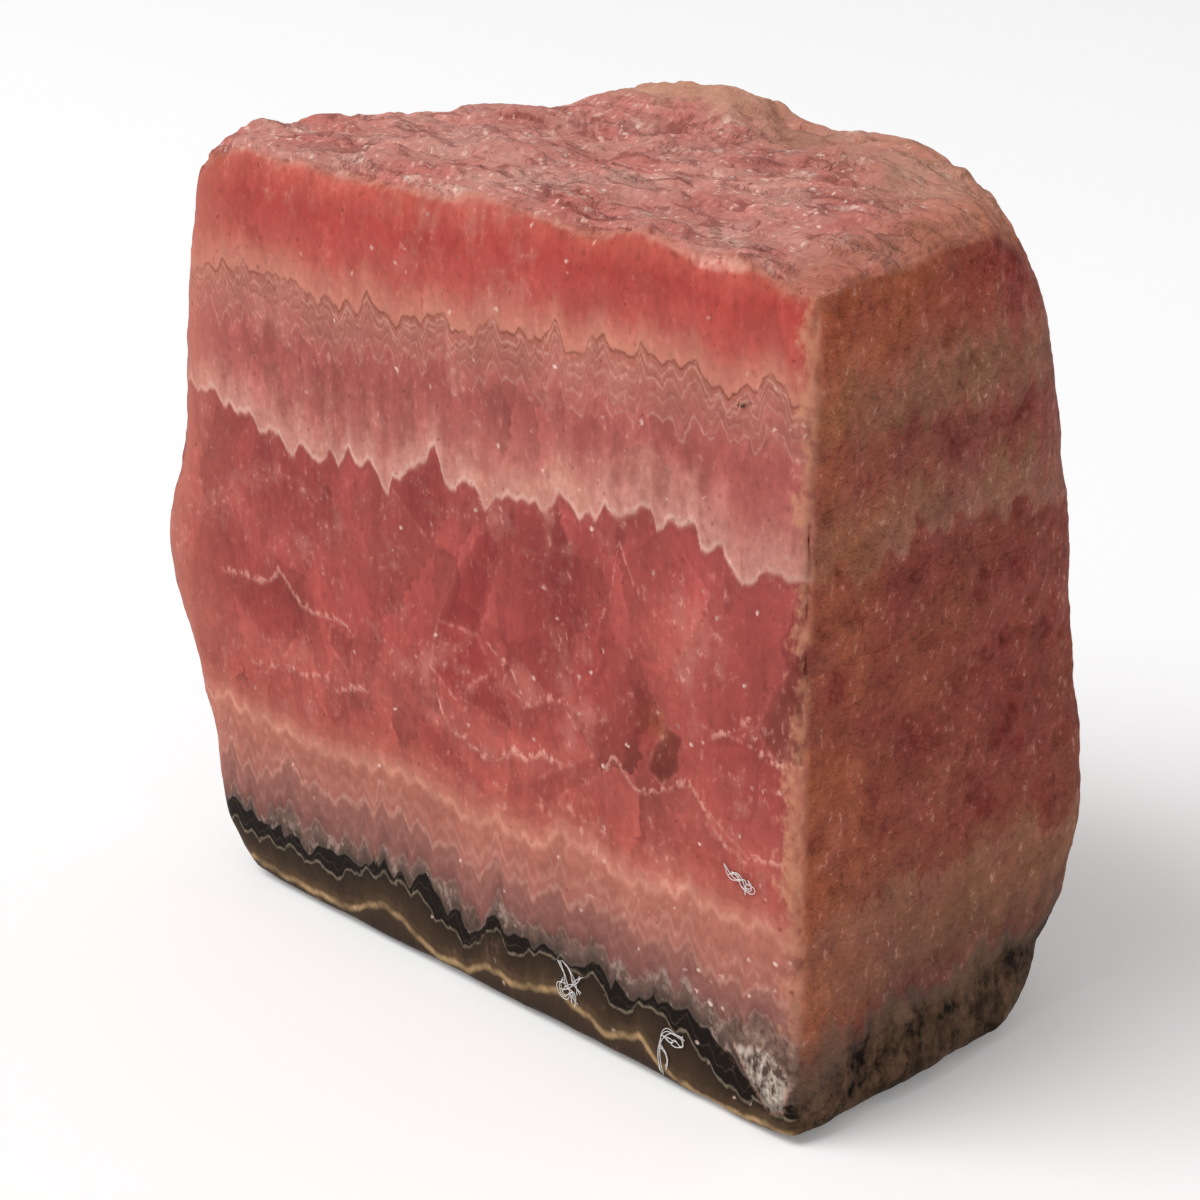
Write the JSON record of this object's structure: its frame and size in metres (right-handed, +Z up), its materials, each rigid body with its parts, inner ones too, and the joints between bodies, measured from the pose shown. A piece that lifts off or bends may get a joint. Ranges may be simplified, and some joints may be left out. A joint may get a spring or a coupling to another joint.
{
  "type": "rhodochrosite slice",
  "caption": "Thick slice of banded rose-red stone with one flat sawn face, a broken top, weathered sides and a dark rind along its foot. Stands on the rind.",
  "frame": {"origin": "middle of the underside, in the middle of the bounding box", "axes": "+Z up through the bands, from the rind to the broken top; -Y out of the sawn front face; +X to the right as the sawn face is seen"},
  "size_m": [0.0674, 0.0316, 0.0619],
  "materials": {
    "banded_stone": "rose-red bands with pale zigzag borders over a black and tan rind; satin on the sawn face, rough elsewhere"
  },
  "bodies": {
    "root": {"banded_stone": "banded_stone"}
  },
  "joints": []
}
